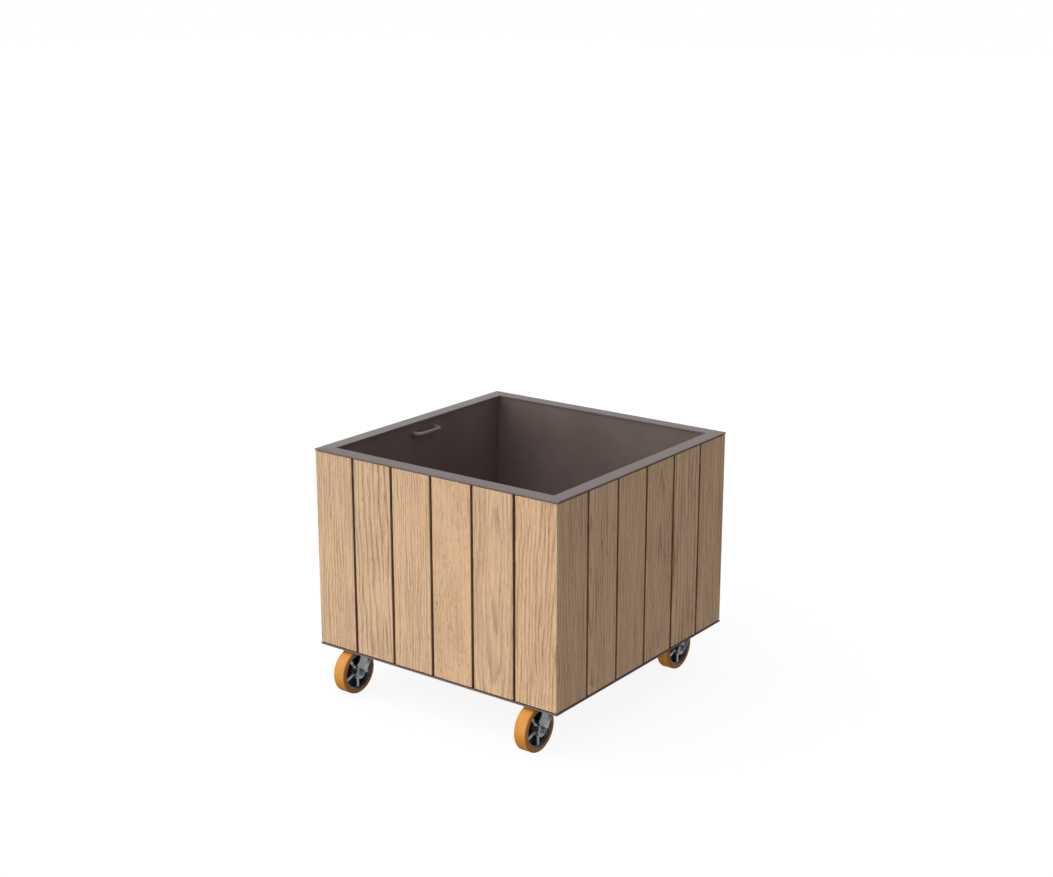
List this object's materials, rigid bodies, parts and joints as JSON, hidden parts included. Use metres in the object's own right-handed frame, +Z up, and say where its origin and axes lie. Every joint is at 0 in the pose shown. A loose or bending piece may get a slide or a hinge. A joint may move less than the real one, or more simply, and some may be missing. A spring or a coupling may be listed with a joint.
{
  "type": "planter box",
  "caption": "Square timber-clad steel planter box with a flat wide rim, inner lifting handles and swivel casters with solid tyres.",
  "frame": {"origin": "on the ground, under the middle of the square box", "axes": "+Z up, -Y front (the side the casters trail towards), +X right"},
  "size_m": [0.8, 0.8325, 0.688],
  "materials": {
    "oak": "oiled light oak, straight grain",
    "coated_steel": "fine-textured matt powder coat",
    "zinc_steel": "bright zinc plating",
    "cast_aluminium": "die-cast, lightly machined",
    "bearing_steel": "ground",
    "orange_tyre": "smooth cast polyurethane"
  },
  "bodies": {
    "planter_body": {"plank_front_1": "oak", "plank_front_2": "oak", "plank_front_3": "oak", "plank_front_4": "oak", "plank_front_5": "oak", "plank_front_6": "oak", "plank_right_1": "oak", "plank_right_2": "oak", "plank_right_3": "oak", "plank_right_4": "oak", "plank_right_5": "oak", "plank_right_6": "oak", "plank_back_1": "oak", "plank_back_2": "oak", "plank_back_3": "oak", "plank_back_4": "oak", "plank_back_5": "oak", "plank_back_6": "oak", "plank_left_1": "oak", "plank_left_2": "oak", "plank_left_3": "oak", "plank_left_4": "oak", "plank_left_5": "oak", "plank_left_6": "oak", "rim_flange": "coated_steel", "base_ledge": "coated_steel", "tub_floor": "coated_steel", "tub_wall_front": "coated_steel", "tub_wall_right": "coated_steel", "tub_wall_back": "coated_steel", "tub_wall_left": "coated_steel", "chassis_rail_left": "coated_steel", "chassis_rail_right": "coated_steel", "cladding_frame": "coated_steel", "lifting_handle_left": "coated_steel", "lifting_handle_right": "coated_steel", "plank_screws": "zinc_steel", "caster_top_plates": "zinc_steel", "caster_kingpins": "zinc_steel", "caster_bolts": "zinc_steel"},
    "fork_front_left": {"caster_fork_front_left": "zinc_steel", "axle_bolt_front_left": "zinc_steel"},
    "wheel_front_left": {"wheel_hub_front_left": "cast_aluminium", "wheel_bearings_front_left": "bearing_steel", "wheel_tyre_front_left": "orange_tyre"},
    "fork_front_right": {"caster_fork_front_right": "zinc_steel", "axle_bolt_front_right": "zinc_steel"},
    "wheel_front_right": {"wheel_hub_front_right": "cast_aluminium", "wheel_bearings_front_right": "bearing_steel", "wheel_tyre_front_right": "orange_tyre"},
    "fork_back_right": {"caster_fork_back_right": "zinc_steel", "axle_bolt_back_right": "zinc_steel"},
    "wheel_back_right": {"wheel_hub_back_right": "cast_aluminium", "wheel_bearings_back_right": "bearing_steel", "wheel_tyre_back_right": "orange_tyre"},
    "fork_back_left": {"caster_fork_back_left": "zinc_steel", "axle_bolt_back_left": "zinc_steel"},
    "wheel_back_left": {"wheel_hub_back_left": "cast_aluminium", "wheel_bearings_back_left": "bearing_steel", "wheel_tyre_back_left": "orange_tyre"}
  },
  "joints": [
    {"name": "swivel_front_left", "type": "hinge", "parent": "planter_body", "child": "fork_front_left", "pos_m": [-0.308, -0.336, 0.135], "axis": [0, 0, 1], "continuous": true},
    {"name": "wheel_spin_front_left", "type": "hinge", "parent": "fork_front_left", "child": "wheel_front_left", "pos_m": [-0.308, -0.37, 0.0625], "axis": [1, 0, 0], "continuous": true},
    {"name": "swivel_front_right", "type": "hinge", "parent": "planter_body", "child": "fork_front_right", "pos_m": [0.308, -0.336, 0.135], "axis": [0, 0, 1], "continuous": true},
    {"name": "wheel_spin_front_right", "type": "hinge", "parent": "fork_front_right", "child": "wheel_front_right", "pos_m": [0.308, -0.37, 0.0625], "axis": [1, 0, 0], "continuous": true},
    {"name": "swivel_back_right", "type": "hinge", "parent": "planter_body", "child": "fork_back_right", "pos_m": [0.308, 0.336, 0.135], "axis": [0, 0, 1], "continuous": true},
    {"name": "wheel_spin_back_right", "type": "hinge", "parent": "fork_back_right", "child": "wheel_back_right", "pos_m": [0.308, 0.302, 0.0625], "axis": [1, 0, 0], "continuous": true},
    {"name": "swivel_back_left", "type": "hinge", "parent": "planter_body", "child": "fork_back_left", "pos_m": [-0.308, 0.336, 0.135], "axis": [0, 0, 1], "continuous": true},
    {"name": "wheel_spin_back_left", "type": "hinge", "parent": "fork_back_left", "child": "wheel_back_left", "pos_m": [-0.308, 0.302, 0.0625], "axis": [1, 0, 0], "continuous": true}
  ]
}
